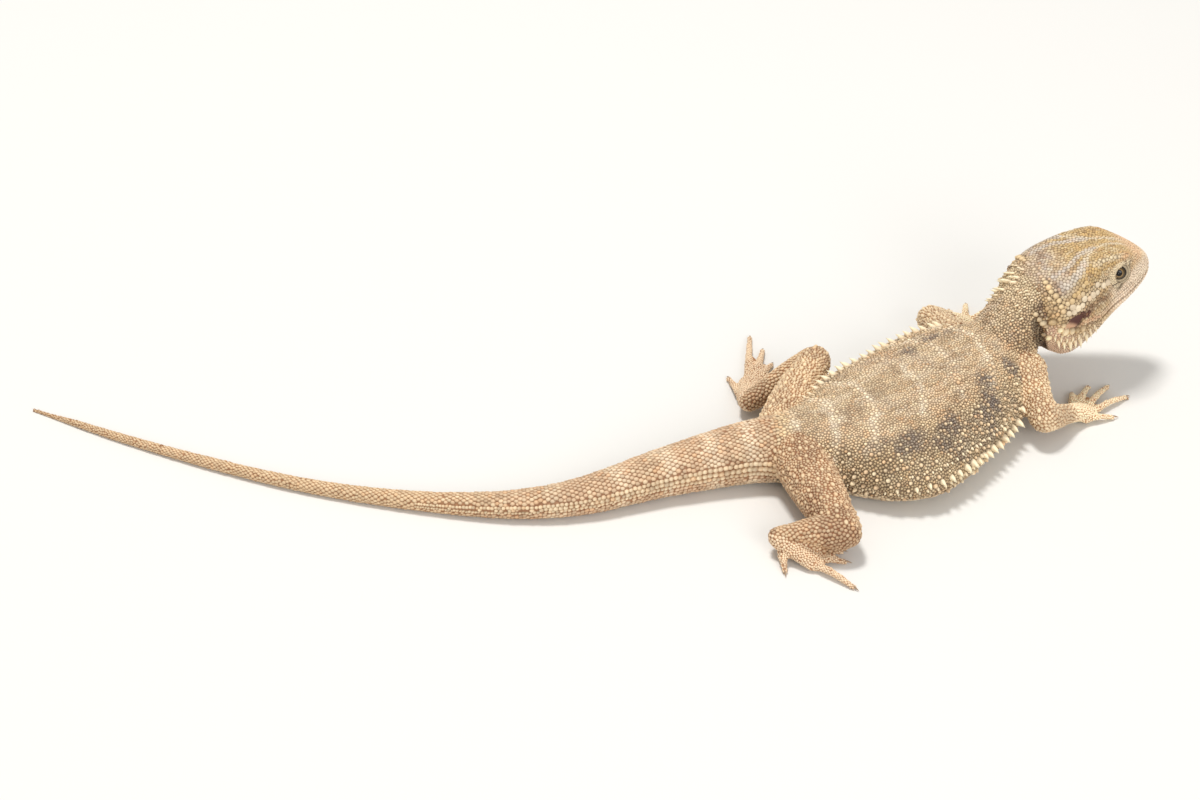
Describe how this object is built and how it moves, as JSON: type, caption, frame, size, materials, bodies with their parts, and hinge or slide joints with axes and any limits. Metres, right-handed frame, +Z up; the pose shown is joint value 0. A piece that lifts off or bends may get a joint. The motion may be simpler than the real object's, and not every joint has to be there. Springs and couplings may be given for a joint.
{
  "type": "bearded dragon",
  "caption": "Bearded dragon at rest with its head raised, legs bent and tail laid out behind, as a still, life-size figure that rests on its belly, feet and tail",
  "frame": {"origin": "middle of the bounding box in plan, on the floor that the belly, feet and tail rest on", "axes": "+X runs from the tail to the head along the longest extent, +Y is the animal's far side in its pose, +Z is up"},
  "size_m": [0.4092, 0.1784, 0.0559],
  "materials": {
    "skin": "matte scaled skin",
    "eye": "wet gloss",
    "eardrum": "satin membrane",
    "claw": "satin horn"
  },
  "bodies": {
    "root": {"head": "skin", "lower_jaw": "skin", "neck": "skin", "trunk": "skin", "tail_base": "skin", "tail_middle": "skin", "tail_rear": "skin", "tail_tip": "skin", "upper_arm_left": "skin", "forearm_left": "skin", "hand_left": "skin", "thigh_left": "skin", "shin_left": "skin", "foot_left": "skin", "upper_arm_right": "skin", "forearm_right": "skin", "hand_right": "skin", "thigh_right": "skin", "shin_right": "skin", "foot_right": "skin", "eye_left": "eye", "eye_right": "eye", "eardrum_left": "eardrum", "eardrum_right": "eardrum", "claw_front_left_1": "claw", "claw_front_left_2": "claw", "claw_front_left_3": "claw", "claw_front_left_4": "claw", "claw_front_left_5": "claw", "claw_front_right_1": "claw", "claw_front_right_2": "claw", "claw_front_right_3": "claw", "claw_front_right_4": "claw", "claw_front_right_5": "claw", "claw_hind_left_1": "claw", "claw_hind_left_2": "claw", "claw_hind_left_3": "claw", "claw_hind_left_4": "claw", "claw_hind_left_5": "claw", "claw_hind_right_1": "claw", "claw_hind_right_2": "claw", "claw_hind_right_3": "claw", "claw_hind_right_4": "claw", "claw_hind_right_5": "claw"}
  },
  "joints": []
}
